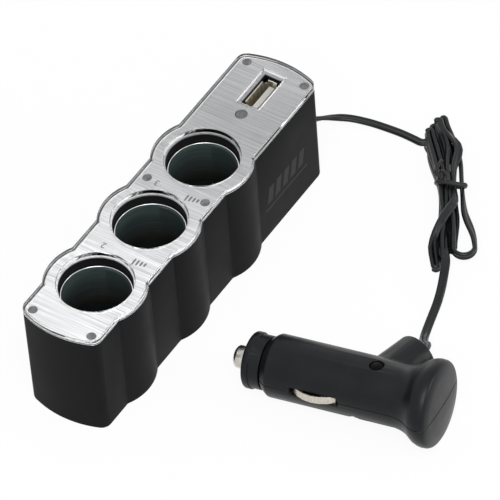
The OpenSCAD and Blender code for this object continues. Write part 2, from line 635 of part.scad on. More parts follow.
// Tie: a flat band round the waist, its ends twisted together
tie_in = [len([0, 1, 2, 3, 4]) * lane - lane_gap + tie_gap * 2, row + cord_w + tie_gap * 2];
tie_mid = [first_lane + 2 * lane, lie_z + hank_lift + row / 2];
tail_l = 6.5;
tail_turns = 2.5;
module twist_tie() color([0.1, 0.1, 0.1]) translate([hank_at[0], hank_at[1], 0]) rotate([0, 0, hank_turn]) {
    difference() {
        block([tie_w, tie_in[0] + tie_t * 2, tie_in[1] + tie_t * 2], [waist_s, tie_mid[0], tie_mid[1]]);
        block([tie_w * 2, tie_in[0], tie_in[1]], [waist_s, tie_mid[0], tie_mid[1]]);
    }
    translate([waist_s, tie_mid[0] - tie_in[0] / 2 - tie_t, tie_mid[1] + row / 4]) rotate([0, -90, 0])
        linear_extrude(height = tail_l, twist = 360 * tail_turns, slices = 24, $fn = 4)
            square([tie_w * 0.8, tie_t], center = true);
}

// Plug's body, cut in two along its middle plane
dome = [for (q = dome_shares) [q[1] * flange_r, q[0] * barrel_l]];
module plug_solid() {
    turned(concat(dome, [[barrel_r, barrel_l * 0.2], [barrel_r, barrel_l * (1 - nose_chamfer_share)],
        [cap_r - groove / 2, barrel_l], [screw_collar_r, barrel_l], [screw_collar_r, collar_front],
        [0, collar_front]]));
    translate([boss_s, 0, 0]) rotate([90, 0, -boss_lean])
        cylinder(r1 = boss_r + boss_flare * boss_reach, r2 = boss_r, h = boss_reach);
}

module plug_hollows() {
    turned([[0, rear_back], [rear_r, rear_back], [rear_r, rear_front], [0, rear_front]]);
    turned([[0, chamber_back], [chamber_r, chamber_back], [chamber_r, tip_flange_back - tip_travel - gap],
        [tip_flange_r + gap, tip_flange_back - tip_travel - gap], [tip_flange_r + gap, barrel_l * 2], [0, barrel_l * 2]]);
    turned([[0, rear_back], [wire_r * 2, rear_back], [wire_r * 2, barrel_l / 2], [0, barrel_l / 2]]);
    translate([plug_led_s, 0, plug_led_deep]) cylinder(r = plug_led_r + fit, h = barrel_r);
    // the lead's way in, wide side along the split
    translate([boss_s, 0, 0]) rotate([90, 0, -boss_lean]) {
        translate([-cord_w / 2 - fit, -cord_t / 2 - fit, rear_r * 0.8])
            cube([cord_w + fit * 2, cord_t + fit * 2, boss_reach - rear_r * 0.8 + over]);
    }
    for (m = [1, -1]) difference() {
        translate([pocket_back, m > 0 ? pocket_floor : -pocket_floor - barrel_r, -side_w / 2 - gap])
            cube([pocket_front - pocket_back, barrel_r, side_w + gap * 2]);
        translate([side_pin[0], m * side_pin[1], -side_w]) cylinder(r = pin_r, h = side_w * 2);
    }
    translate([plug_screw_at[0], plug_screw_at[1], 0]) {
        translate([0, 0, -barrel_r * 2]) cylinder(r = plug_head_r + gap, h = barrel_r * 2 + plug_head_z);
        translate([0, 0, -barrel_r]) cylinder(r = plug_screw_r + fit, h = barrel_r + plug_screw_top);
    }
}

module plug_half(up) at_plug() difference() {
    plug_solid();
    plug_hollows();
    cut = barrel_l * 4;
    translate([-cut / 2, -cut / 2, up > 0 ? -cut : 0]) cube(cut);
}
module plug_upper_shell() color([0.16, 0.16, 0.17]) plug_half(1);
module plug_lower_shell() color([0.15, 0.15, 0.16]) plug_half(-1);

module plug_screw() color([0.7, 0.7, 0.72]) at_plug()
    translate([plug_screw_at[0], plug_screw_at[1], plug_head_z]) difference() {
        union() {
            translate([0, 0, -small_head_h]) cylinder(r = plug_head_r, h = small_head_h);
            cylinder(r = plug_screw_r, h = plug_screw_top - plug_head_z - fit);
        }
        translate([0, 0, -small_head_h]) cross_slot(plug_head_r, slot_deep);
    }

module plug_light() color([0.3, 0.05, 0.05]) at_plug() translate([plug_led_s, 0, plug_led_deep]) rotate_extrude()
    polygon([[0, 0], [plug_led_r, 0], [plug_led_r, barrel_r - plug_led_deep - groove * 2],
        [plug_led_r * 0.7, barrel_r - plug_led_deep - groove], [0, barrel_r - plug_led_deep - groove]]);

// Contact plate behind the spring, with its tail toward the leads
module rear_contact() color([0.8, 0.68, 0.4]) at_plug() turned([[0, rear_front - over], [wire_r, rear_front - over],
    [wire_r, chamber_back], [chamber_r - fit, chamber_back], [chamber_r - fit, spring_back], [0, spring_back]]);

lead_end = boss_reach - cord_in;
module plug_leads() color([0.5, 0.1, 0.1]) at_plug() {
    for (m = [-1, 1]) translate([m * wire_r * 1.1 * cos(boss_lean), -m * wire_r * 1.1 * sin(boss_lean), 0])
        wire([[boss_s - lead_end * sin(boss_lean), -lead_end * cos(boss_lean), 0],
            [boss_s - rear_r * sin(boss_lean), -rear_r * cos(boss_lean), 0],
            [rear_front - wire_r * 4, -rear_r * 0.7, 0], [rear_front - wire_r * 4, -wire_r * 2.2, 0]], wire_r * 0.9);
}

// Spring behind the fuse, one tube along a helix
spring_l = fuse_back - spring_back;
spring_rings = 8;
function coil_point(q) = [spring_back + spring_wire_r + gap / 3 + (spring_l - spring_wire_r * 2 - gap * 2 / 3) * q,
    spring_r * cos(360 * spring_turns * q), spring_r * sin(360 * spring_turns * q)];
coil_line = [for (k = [0:spring_turns * spring_rings]) coil_point(k / spring_turns / spring_rings)];
module tip_spring() color([0.75, 0.75, 0.78]) at_plug() polyhedron(
    points = [for (i = [0:len(coil_line) - 1])
        let (v = slope(coil_line, i), u = unit([1, 0, 0] - v * v[0]), w = cross(v, u))
        each [for (q = round_shares(6)) coil_line[i] + spring_wire_r * (q[0] * u + q[1] * w)]],
    faces = tube_faces(len(coil_line), 6));

glass_r = fuse_r - 0.3;
module glass_fuse() color([0.8, 0.9, 0.9, 0.6]) at_plug() turned([[0, fuse_back + liner_t], [glass_r, fuse_back + liner_t],
    [glass_r, tip_flange_back - liner_t], [0, tip_flange_back - liner_t]]);
module fuse_caps() color([0.75, 0.76, 0.78]) at_plug() for (s = [fuse_back, tip_flange_back]) {
    side = s == fuse_back ? 1 : -1;
    turned([[0, s], [fuse_r, s], [fuse_r, s + side * fuse_cap_l], [glass_r, s + side * fuse_cap_l],
        [glass_r, s + side * liner_t], [0, s + side * liner_t]]);
}

tip_front = cap_front + tip_out;
dome_l = tip_r / 2;
module contact_tip() color([0.8, 0.8, 0.8]) at_plug() turned(concat([[0, tip_flange_back], [tip_flange_r, tip_flange_back],
    [tip_flange_r, tip_flange_front], [tip_r, tip_flange_front]],
    [for (q = [0:15:90]) [tip_r * cos(q), tip_front - dome_l + dome_l * sin(q)]]));

// Side contact: a strip curled round its pin at the back and bent in at the front
function left_of(p, i) = let (v = unit(p[min(i + 1, len(p) - 1)] - p[max(i - 1, 0)])) [-v[1], v[0]];
module side_contact(m) color([0.75, 0.73, 0.68]) at_plug() mirror([0, m > 0 ? 0 : 1, 0])
    translate([0, 0, -side_w / 2]) difference() {
        union() {
            linear_extrude(side_w) polygon(concat(
                [for (i = [0:len(side_line) - 1]) side_line[i] + left_of(side_line, i) * side_t / 2],
                [for (i = [len(side_line) - 1:-1:0]) side_line[i] - left_of(side_line, i) * side_t / 2]));
            translate([side_pin[0], side_pin[1], 0]) cylinder(r = curl_r, h = side_w);
        }
        translate([side_pin[0], side_pin[1], -over]) cylinder(r = pin_r + fit, h = side_w + over * 2);
    }
module side_contact_near() side_contact(1);
module side_contact_far() side_contact(-1);

module cap_washer() color([0.3, 0.2, 0.15]) at_plug() turned([[tip_r + gap, washer_front - washer_t],
    [screw_collar_r, washer_front - washer_t], [screw_collar_r, washer_front], [tip_r + gap, washer_front]]);

module nose_cap() color([0.16, 0.16, 0.17]) at_plug() {
    ring_back = cap_front - cap_l * ring_share;
    edge = cap_l / 9;
    turned([[screw_collar_r + fit, cap_back], [cap_r, cap_back], [cap_r, ring_back], [ring_r, ring_back],
        [ring_r, cap_front - edge], [ring_r - edge * 0.3, cap_front - edge * 0.3], [ring_r - edge, cap_front],
        [tip_r + fit, cap_front], [tip_r + fit, washer_front], [screw_collar_r + fit, washer_front]]);
}

housing_shell();
base_cover();
base_screws();
label_plate();
clear_cover();
socket_liner_1();
socket_liner_2();
socket_liner_3();
socket_cup_1();
socket_cup_2();
socket_cup_3();
centre_contacts();
positive_bus();
ground_bus();
converter_board();
board_screws();
port_shell();
port_tongue();
port_contacts();
converter_parts();
power_light();
cord_grommet();
inner_leads();
cord_to_hank();
cord_hank();
cord_to_plug();
twist_tie();
plug_upper_shell();
plug_lower_shell();
plug_screw();
plug_light();
rear_contact();
plug_leads();
tip_spring();
glass_fuse();
fuse_caps();
contact_tip();
side_contact_near();
side_contact_far();
cap_washer();
nose_cap();
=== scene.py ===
import bmesh
import bpy
import numpy as np
from mathutils import Matrix


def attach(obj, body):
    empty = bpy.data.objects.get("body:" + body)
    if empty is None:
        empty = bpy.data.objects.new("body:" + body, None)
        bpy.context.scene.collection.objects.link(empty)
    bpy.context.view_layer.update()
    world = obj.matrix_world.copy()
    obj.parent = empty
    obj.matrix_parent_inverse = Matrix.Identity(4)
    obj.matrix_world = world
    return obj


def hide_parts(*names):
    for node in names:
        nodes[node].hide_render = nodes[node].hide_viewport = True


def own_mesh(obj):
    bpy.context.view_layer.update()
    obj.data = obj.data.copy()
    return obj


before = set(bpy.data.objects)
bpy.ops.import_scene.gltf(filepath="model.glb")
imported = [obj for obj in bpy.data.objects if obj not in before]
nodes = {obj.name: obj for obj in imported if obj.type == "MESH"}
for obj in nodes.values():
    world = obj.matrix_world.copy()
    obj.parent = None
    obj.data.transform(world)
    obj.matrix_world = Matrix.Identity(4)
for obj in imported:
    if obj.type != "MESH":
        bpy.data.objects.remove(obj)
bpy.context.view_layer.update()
scene = bpy.context.scene
mm = 0.001
bodyOf = {"contact_tip": "tip", "side_contact_near": "near_contact", "side_contact_far": "far_contact",
          "nose_cap": "cap"}

lookFrom = {"azimuth": -53.827, "elevation": 47.588, "roll": -4.750, "lookAt": (15.273, -18.266, 10.613),
            "distance": 1745.63, "lens": 387.88, "sensor": 36.0, "clip": (0.05, 20)}


def makeCamera(c):
    # Back axis from azimuth and elevation; right and up are then turned by the roll.
    a, e, r = np.radians([c["azimuth"], c["elevation"], c["roll"]])
    back = np.array([np.sin(a) * np.cos(e), -np.cos(a) * np.cos(e), np.sin(e)])
    side = np.array([np.cos(a), np.sin(a), 0.0])
    top = np.cross(back, side)
    right, up = np.cos(r) * side + np.sin(r) * top, -np.sin(r) * side + np.cos(r) * top
    data = bpy.data.cameras.new("view")
    data.lens, data.sensor_width = c["lens"], c["sensor"]
    data.clip_start, data.clip_end = c["clip"]
    cam = bpy.data.objects.new("view", data)
    scene.collection.objects.link(cam)
    turn = np.eye(4)
    turn[:3, 0], turn[:3, 1], turn[:3, 2] = right, up, back
    turn[:3, 3] = (np.array(c["lookAt"]) + back * c["distance"]) * mm
    cam.matrix_world = Matrix(turn.tolist())
    scene.camera = cam


makeCamera(lookFrom)
print("camera placed")

weld = {"made": 0.002, "copied": 0.001}   # millimetres; points nearer than this become one
bevel = {"overAngle": 28, "sharp": 40, "flatWithin": 0.4}   # degrees


def gridFaces(rows, cols, closeRows=False):
    # Quads between neighbouring rings of points; the last ring joins the first where closed.
    i, k = np.meshgrid(np.arange(rows if closeRows else rows - 1), np.arange(cols), indexing="ij")
    n, j = (k + 1) % cols, (i + 1) % rows
    return np.stack([i * cols + k, i * cols + n, j * cols + n, j * cols + k], -1).reshape(-1, 4)


def finishPiece(obj, material, body, node=None):
    # Gives a piece its material and its body, and hides the CAD node that it stands for.
    obj.data.materials.clear()
    obj.data.materials.append(material)
    scene.collection.objects.link(obj)
    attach(obj, body)
    if node:
        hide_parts(node)
    return obj


def opened(mesh, within=None):
    # The mesh as a bmesh; points within some millimetres of each other are joined.
    b = bmesh.new()
    b.from_mesh(mesh)
    if within:
        bmesh.ops.remove_doubles(b, verts=b.verts, dist=within * mm)
    return b


def writeBack(b, mesh):
    b.to_mesh(mesh)
    b.free()


def shadeSmooth(mesh, sharp):
    # Smooth but for edges sharper than some degrees.
    mesh.polygons.foreach_set("use_smooth", np.full(len(mesh.polygons), True))
    mesh.set_sharp_from_angle(angle=np.radians(sharp))


def makePiece(name, points, faces, material, slot, node=None, sharp=35):
    # Points in millimetres become a closed mesh with outward faces.
    mesh = bpy.data.meshes.new(name)
    mesh.from_pydata((np.asarray(points) * mm).tolist(), [], [list(map(int, f)) for f in faces])
    b = opened(mesh, weld["made"])
    bmesh.ops.recalc_face_normals(b, faces=b.faces)
    writeBack(b, mesh)
    shadeSmooth(mesh, sharp)
    return finishPiece(bpy.data.objects.new(name, mesh), material, "splitter", node)


def splineThrough(points, steps=8):
    # Catmull-Rom curve: each span is a cubic of its four nearest points, sampled evenly.
    p = np.asarray(points, float)
    q = np.vstack([p[:1], p, p[-1:]])
    a, b, c, d = (q[i:len(q) - 3 + i, None, :] for i in range(4))
    u = (np.arange(steps) / steps)[None, :, None]
    s = (2 * b + (c - a) * u + (2 * a - 5 * b + 4 * c - d) * u ** 2 + (3 * b - a - 3 * c + d) * u ** 3) / 2
    return np.vstack([s.reshape(-1, 3), p[-1:]])


def evenly(points, step):
    # The same line with its points spaced evenly along its length.
    length = np.r_[0, np.cumsum(np.linalg.norm(np.diff(points, axis=0), axis=1))]
    at = np.linspace(0, length[-1], int(length[-1] / step) + 1)
    return np.stack([np.interp(at, length, points[:, i]) for i in range(points.shape[1])], 1)


def rounded(profile, radius, steps=3, close=False):
    # Every corner of the profile is cut back by the radius on both sides, but by no more than most of a side, and
    # bridged by a quadratic curve through the two cuts, with the corner as its handle.
    p, most, tiny = np.asarray(profile, float), 0.45, 1e-9
    before, after = np.roll(p, 1, 0) - p, np.roll(p, -1, 0) - p
    reach = [np.minimum(radius / np.maximum(np.linalg.norm(v, axis=1), tiny), most)[:, None] for v in (before, after)]
    a, c = p + before * reach[0], p + after * reach[1]
    u = np.linspace(0, 1, steps)[None, :, None]
    q = (1 - u) ** 2 * a[:, None] + 2 * u * (1 - u) * p[:, None] + u ** 2 * c[:, None]
    if close:
        return q.reshape(-1, 2)
    return np.vstack([p[:1], q[1:-1].reshape(-1, 2), p[-1:]])


def revolved(profile, centre, around, closeRows=False):
    # Surface of revolution: (radius, height) carried round an upright axis, as x = r cos q, y = r sin q, z = h.
    # A profile that starts and ends on the axis gives a solid; with closeRows it is joined to itself, as a ring.
    q = np.linspace(0, 2 * np.pi, around, endpoint=False)
    x, y = profile[:, :1] * np.cos(q) + centre[0], profile[:, :1] * np.sin(q) + centre[1]
    points = np.stack(np.broadcast_arrays(x, y, profile[:, 1:]), -1).reshape(-1, 3)
    return points, gridFaces(len(profile), around, closeRows).tolist()


def refined(node, material, width, segments=2, harden=True):
    # A copy of a CAD node: doubles merged, flat triangles joined, and its sharp edges rounded by a Bevel.
    mesh = nodes[node].data.copy()
    b = opened(mesh, weld["copied"])
    bmesh.ops.dissolve_limit(b, angle_limit=np.radians(bevel["flatWithin"]), verts=b.verts, edges=b.edges)
    writeBack(b, mesh)
    shadeSmooth(mesh, bevel["sharp"])
    obj = bpy.data.objects.new(node + "_moulded", mesh)
    edge = obj.modifiers.new("roundedEdges", "BEVEL")
    edge.width, edge.segments, edge.angle_limit = width * mm, segments, np.radians(bevel["overAngle"])
    edge.limit_method, edge.harden_normals, edge.use_clamp_overlap = "ANGLE", harden, False
    return finishPiece(obj, material, bodyOf.get(node, "splitter"), node)


def shaderGroup(name, inputs, outputs):
    # A node group with its inputs' names and kinds; the outputs are all numbers.
    g = bpy.data.node_groups.new(name, "ShaderNodeTree")
    for n, kind in inputs.items():
        g.interface.new_socket(n, in_out="INPUT", socket_type="NodeSocket" + kind)
    for n in outputs:
        g.interface.new_socket(n, in_out="OUTPUT", socket_type="NodeSocketFloat")
    return g, g.nodes.new("NodeGroupInput"), g.nodes.new("NodeGroupOutput")


def mouldGrainGroup():
    # Fine pits of a spark-eroded mould, with slow patches over them: one noise a few tenths of a millimetre across
    # and one of several millimetres.
    g, gi, go = shaderGroup("mouldGrain", {"Vector": "Vector", "Grain": "Float", "Patch": "Float"},
                            ("Height", "Patches"))
    for scale, detail, out in (("Grain", 3.0, "Height"), ("Patch", 4.0, "Patches")):
        n = g.nodes.new("ShaderNodeTexNoise")
        n.inputs["Detail"].default_value = detail
        g.links.new(gi.outputs["Vector"], n.inputs["Vector"])
        g.links.new(gi.outputs[scale], n.inputs["Scale"])
        g.links.new(n.outputs["Fac"], go.inputs[out])
    return g


def brushingGroup():
    # Brushing lines: noise stretched along one axis by the Mapping's scale, a coarse set over a fine set.
    g, gi, go = shaderGroup("brushing", {"Vector": "Vector", "Along": "Vector"}, ("Lines", "Broad"))
    m = g.nodes.new("ShaderNodeMapping")
    g.links.new(gi.outputs["Vector"], m.inputs["Vector"])
    g.links.new(gi.outputs["Along"], m.inputs["Scale"])
    for scale, out in ((1.0, "Lines"), (0.22, "Broad")):
        n = g.nodes.new("ShaderNodeTexNoise")
        n.inputs["Scale"].default_value, n.inputs["Detail"].default_value = scale, 3.0
        g.links.new(m.outputs["Vector"], n.inputs["Vector"])
        g.links.new(n.outputs["Fac"], go.inputs[out])
    return g


mouldGrain = mouldGrainGroup()
brushing = brushingGroup()


def startMaterial(name, colour, roughness, metallic=0.0, **more):
    # A new material, its node tree and its shader.
    m = bpy.data.materials.new(name)
    m.use_nodes = True
    t = m.node_tree
    s = t.nodes["Principled BSDF"]
    s.inputs["Base Color"].default_value = (*colour, 1)
    s.inputs["Roughness"].default_value = roughness
    s.inputs["Metallic"].default_value = metallic
    for k, v in more.items():
        s.inputs[k.replace("_", " ")].default_value = v
    return m, t, s


def place(t, group, **values):
    # The node group with its numbers, fed with the Object coordinates.
    n = t.nodes.new("ShaderNodeGroup")
    n.node_tree = group
    c = t.nodes.new("ShaderNodeTexCoord")
    t.links.new(c.outputs["Object"], n.inputs["Vector"])
    for k, v in values.items():
        n.inputs[k].default_value = v
    return n


def toRange(t, value, low, high, target=None, fromLow=0.3, fromHigh=0.7):
    # A number carried from one range to another; most of a noise lies between 0.3 and 0.7.
    r = t.nodes.new("ShaderNodeMapRange")
    r.inputs["From Min"].default_value, r.inputs["From Max"].default_value = fromLow, fromHigh
    r.inputs["To Min"].default_value, r.inputs["To Max"].default_value = low, high
    t.links.new(value, r.inputs["Value"])
    if target:
        t.links.new(r.outputs["Result"], target)
    return r.outputs["Result"]


def toColours(t, value, low, high, target=None, fromLow=0.3, fromHigh=0.7, between=()):
    # A number turned into a colour; between holds further stops, each a place with its colour.
    r = t.nodes.new("ShaderNodeValToRGB")
    e = r.color_ramp.elements
    e[0].position, e[0].color = fromLow, (*low, 1)
    e[1].position, e[1].color = fromHigh, (*high, 1)
    for at, colour in between:
        e.new(at).color = (*colour, 1)
    t.links.new(value, r.inputs["Fac"])
    if target:
        t.links.new(r.outputs["Color"], target)
    return r.outputs["Color"]


def toBump(t, s, value, strength, distance):
    b = t.nodes.new("ShaderNodeBump")
    b.inputs["Strength"].default_value, b.inputs["Distance"].default_value = strength, distance
    t.links.new(value, b.inputs["Height"])
    t.links.new(b.outputs["Normal"], s.inputs["Normal"])


def alongAxis(t, axis, low, high):
    # One of the Object coordinates on its own: 0 at the low place and 1 at the high one, in metres.
    c, x = t.nodes.new("ShaderNodeTexCoord"), t.nodes.new("ShaderNodeSeparateXYZ")
    t.links.new(c.outputs["Object"], x.inputs["Vector"])
    return toRange(t, x.outputs[axis], 0.0, 1.0, None, low, high)


def multiplied(t, a, b, target):
    # One colour times another.
    m = t.nodes.new("ShaderNodeMix")
    m.data_type, m.blend_type = "RGBA", "MULTIPLY"
    m.inputs[0].default_value = 1.0
    t.links.new(a, m.inputs[6])
    t.links.new(b, m.inputs[7])
    t.links.new(m.outputs[2], target)


def mixed(t, factor, a, b):
    # What the material's output shows: shader a where the factor is 0, shader b where it is 1.
    n = t.nodes.new("ShaderNodeMixShader")
    t.links.new(factor, n.inputs[0])
    t.links.new(a, n.inputs[1])
    t.links.new(b, n.inputs[2])
    t.links.new(n.outputs["Shader"], t.nodes["Material Output"].inputs["Surface"])


def plastic(name, dark, light, rough=(0.38, 0.5), grain=1800.0, patch=90.0, bump=0.25, depth=0.00004, specular=0.5):
    # Moulded plastic: its tone and roughness follow the slow patches, and its bump the fine grain.
    m, t, s = startMaterial(name, light, rough[0], Specular_IOR_Level=specular)
    n = place(t, mouldGrain, Grain=grain, Patch=patch)
    toColours(t, n.outputs["Patches"], dark, light, s.inputs["Base Color"])
    toRange(t, n.outputs["Patches"], rough[0], rough[1], s.inputs["Roughness"])
    toBump(t, s, n.outputs["Height"], bump, depth)
    return m


def brushedMetal(name, dark, light, along, rough=(0.25, 0.42), bump=0.15, depth=0.00002, metallic=1.0):
    # Metal: its tone and bump follow the fine brushing lines, and its roughness the broad ones.
    m, t, s = startMaterial(name, light, rough[0], metallic)
    n = place(t, brushing, Along=along)
    toColours(t, n.outputs["Lines"], dark, light, s.inputs["Base Color"])
    toRange(t, n.outputs["Broad"], rough[0], rough[1], s.inputs["Roughness"])
    toBump(t, s, n.outputs["Lines"], bump, depth)
    return m


def clearMaterial(name, colour, ior=1.49):
    # Clear plastic or glass; lamps' rays go straight through it, so that it lights what lies below it.
    m, t, s = startMaterial(name, colour, 0.03, IOR=ior, Transmission_Weight=1.0)
    n = place(t, mouldGrain, Grain=400.0, Patch=60.0)
    toRange(t, n.outputs["Patches"], 0.01, 0.04, s.inputs["Roughness"])
    toBump(t, s, n.outputs["Height"], 0.03, 0.00002)
    path, clear = t.nodes.new("ShaderNodeLightPath"), t.nodes.new("ShaderNodeBsdfTransparent")
    mixed(t, path.outputs["Is Shadow Ray"], s.outputs["BSDF"], clear.outputs["BSDF"])
    return m


def plateWithPaintedReflection():
    # Brushed plate: streaks across the housing, and a painted reflection that makes it brighter toward the near end.
    m, t, s = startMaterial("plateBrushed", (0.7, 0.7, 0.7), 0.4, 0.75)
    n = place(t, brushing, Along=(2800.0, 36.0, 600.0))
    streaks = toColours(t, n.outputs["Lines"], (0.56, 0.56, 0.57), (1.0, 1.0, 1.0), None, 0.30, 0.66)
    # Painted reflection: the base colour falls from near white at the near end to mid-grey at the far end.
    reflectionGreys = [(at, (v, v, v + 0.004)) for at, v in ((0.25, 0.96), (0.45, 0.75), (0.62, 0.54), (0.80, 0.45))]
    paintedReflection = toColours(t, alongAxis(t, "X", -0.067, 0.067), (1.0, 0.998, 0.998), (0.53, 0.53, 0.535), None, 0.0, 1.0,
                      reflectionGreys)
    multiplied(t, paintedReflection, streaks, s.inputs["Base Color"])
    toRange(t, n.outputs["Broad"], 0.34, 0.5, s.inputs["Roughness"])
    toBump(t, s, n.outputs["Lines"], 0.12, 0.00002)
    return m


def linerWithPaintedShade():
    # Dark plated sheet: rings turned in its wall, and painted shade of the deep well: darker and faintly brown toward
    # the bottom, cooler and lighter in its upper part.
    m, t, s = startMaterial("linerMetal", (0.03, 0.045, 0.045), 0.35, 0.6)
    n = place(t, brushing, Along=(60.0, 60.0, 1500.0))
    # Painted shade: the colour darkens from the liner's top down toward its bottom.
    wellShade = toColours(t, alongAxis(t, "Z", 0.0195, 0.0362), (0.030, 0.026, 0.020), (0.110, 0.155, 0.155), None, 0.0, 1.0,
                     [(0.3, (0.060, 0.074, 0.072))])
    rings = toColours(t, n.outputs["Lines"], (0.7, 0.7, 0.7), (1.0, 1.0, 1.0))
    multiplied(t, wellShade, rings, s.inputs["Base Color"])
    toRange(t, n.outputs["Broad"], 0.3, 0.45, s.inputs["Roughness"])
    toBump(t, s, n.outputs["Lines"], 0.2, 0.00003)
    return m


housingBlack = plastic("housingBlack", (0.0078, 0.0080, 0.0088), (0.0104, 0.0106, 0.0114), rough=(0.45, 0.55),
                       specular=0.042)
plugBlack = plastic("plugBlack", (0.0045, 0.0050, 0.0060), (0.0075, 0.0082, 0.0096), rough=(0.30, 0.42), patch=110.0,
                    bump=0.6, specular=0.20)
cupDark = plastic("cupDark", (0.004, 0.006, 0.006), (0.008, 0.010, 0.010), rough=(0.4, 0.55), specular=0.1)
leadBlack = plastic("leadBlack", (0.0040, 0.0047, 0.0055), (0.0080, 0.0090, 0.0102), rough=(0.26, 0.36), grain=900.0,
                    patch=150.0, specular=0.30)
tieBlack = plastic("tieBlack", (0.016, 0.016, 0.017), (0.028, 0.028, 0.030), rough=(0.4, 0.55), specular=0.2)
rubberBlack = plastic("rubberBlack", (0.006, 0.006, 0.006), (0.010, 0.010, 0.010), rough=(0.55, 0.7), specular=0.1)
plateBrushed = plateWithPaintedReflection()
linerMetal = linerWithPaintedShade()
lipNickel = brushedMetal("lipNickel", (0.80, 0.80, 0.80), (0.95, 0.95, 0.95), (500.0, 500.0, 500.0), rough=(0.14, 0.24))
portMetal = brushedMetal("portMetal", (0.78, 0.76, 0.69), (0.92, 0.90, 0.83), (900.0, 900.0, 200.0), rough=(0.18, 0.3))
contactBrass = brushedMetal("contactBrass", (0.55, 0.40, 0.16), (0.78, 0.60, 0.28), (700.0, 700.0, 700.0))
screwSteel = brushedMetal("screwSteel", (0.45, 0.45, 0.46), (0.62, 0.62, 0.64), (900.0, 900.0, 900.0))
screwBlack = brushedMetal("screwBlack", (0.015, 0.015, 0.016), (0.03, 0.03, 0.032), (900.0, 900.0, 900.0), metallic=0.6)
springNickel = brushedMetal("springNickel", (0.52, 0.48, 0.41), (0.70, 0.66, 0.58), (300.0, 1800.0, 1800.0),
                            rough=(0.3, 0.45))
tipNickel = brushedMetal("tipNickel", (0.46, 0.44, 0.40), (0.66, 0.64, 0.60), (800.0, 800.0, 800.0), rough=(0.16, 0.28))
tongueIvory = plastic("tongueIvory", (0.46, 0.45, 0.41), (0.58, 0.57, 0.52), rough=(0.4, 0.55))
boardGreen = plastic("boardGreen", (0.02, 0.10, 0.05), (0.03, 0.14, 0.07))
partsDark = plastic("partsDark", (0.03, 0.03, 0.03), (0.05, 0.05, 0.05))
wireRed = plastic("wireRed", (0.25, 0.02, 0.02), (0.35, 0.03, 0.02))
lensGrey = plastic("lensGrey", (0.045, 0.045, 0.048), (0.075, 0.075, 0.080), rough=(0.45, 0.6), grain=700.0,
                   patch=700.0, specular=0.1)
pegFrost = plastic("pegFrost", (0.02, 0.02, 0.021), (0.12, 0.12, 0.125), rough=(0.35, 0.5), grain=600.0, patch=600.0,
                   specular=0.2)
inkDark = plastic("inkDark", (0.030, 0.030, 0.032), (0.050, 0.050, 0.054), rough=(0.6, 0.75), patch=900.0)
inkGrey = plastic("inkGrey", (0.030, 0.030, 0.032), (0.044, 0.044, 0.047), rough=(0.6, 0.75), patch=900.0, specular=0.1)
lensDark = plastic("lensDark", (0.002, 0.0015, 0.002), (0.004, 0.003, 0.0035), rough=(0.3, 0.4), specular=0.04)
washerBrown = plastic("washerBrown", (0.10, 0.06, 0.04), (0.16, 0.10, 0.06), rough=(0.6, 0.8))
clearAcrylic = clearMaterial("clearAcrylic", (0.945, 0.95, 0.955))
fuseGlass = clearMaterial("fuseGlass", (0.96, 0.98, 0.97), 1.5)

finishes = {
    "base_screws": screwSteel, "board_screws": screwSteel, "centre_contacts": contactBrass,
    "positive_bus": contactBrass, "ground_bus": contactBrass, "port_contacts": contactBrass,
    "rear_contact": contactBrass, "converter_board": boardGreen, "converter_parts": partsDark, "inner_leads": wireRed,
    "plug_leads": wireRed, "glass_fuse": fuseGlass, "fuse_caps": tipNickel, "cap_washer": washerBrown,
    "socket_cup_1": cupDark, "socket_cup_2": cupDark, "socket_cup_3": cupDark}
for nodeName, finish in finishes.items():
    mats = nodes[nodeName].data.materials
    if len(mats) == 0:
        mats.append(finish)
    for i in range(len(mats)):
        mats[i] = finish
print("finishes given to", len(finishes), "nodes")

plugPlace = {"at": (-13.58, -106.71, 14.5477), "roll": 7.5, "tilt": 4.31016, "turn": 98.8}


def plugTurn():
    # Roll about the barrel, then tilt, then the turn on the floor.
    r, t, w = np.radians([plugPlace["roll"], plugPlace["tilt"], plugPlace["turn"]])
    rx = np.array([[1, 0, 0], [0, np.cos(r), -np.sin(r)], [0, np.sin(r), np.cos(r)]])
    ry = np.array([[np.cos(t), 0, np.sin(t)], [0, 1, 0], [-np.sin(t), 0, np.cos(t)]])
    rz = np.array([[np.cos(w), -np.sin(w), 0], [np.sin(w), np.cos(w), 0], [0, 0, 1]])
    return rz @ ry @ rx


plugAxes = plugTurn()


def inPlug(points):
    # Plug coordinates, in millimetres along and across the barrel, as a place in the scene.
    return np.asarray(points, float) @ plugAxes.T + np.array(plugPlace["at"])


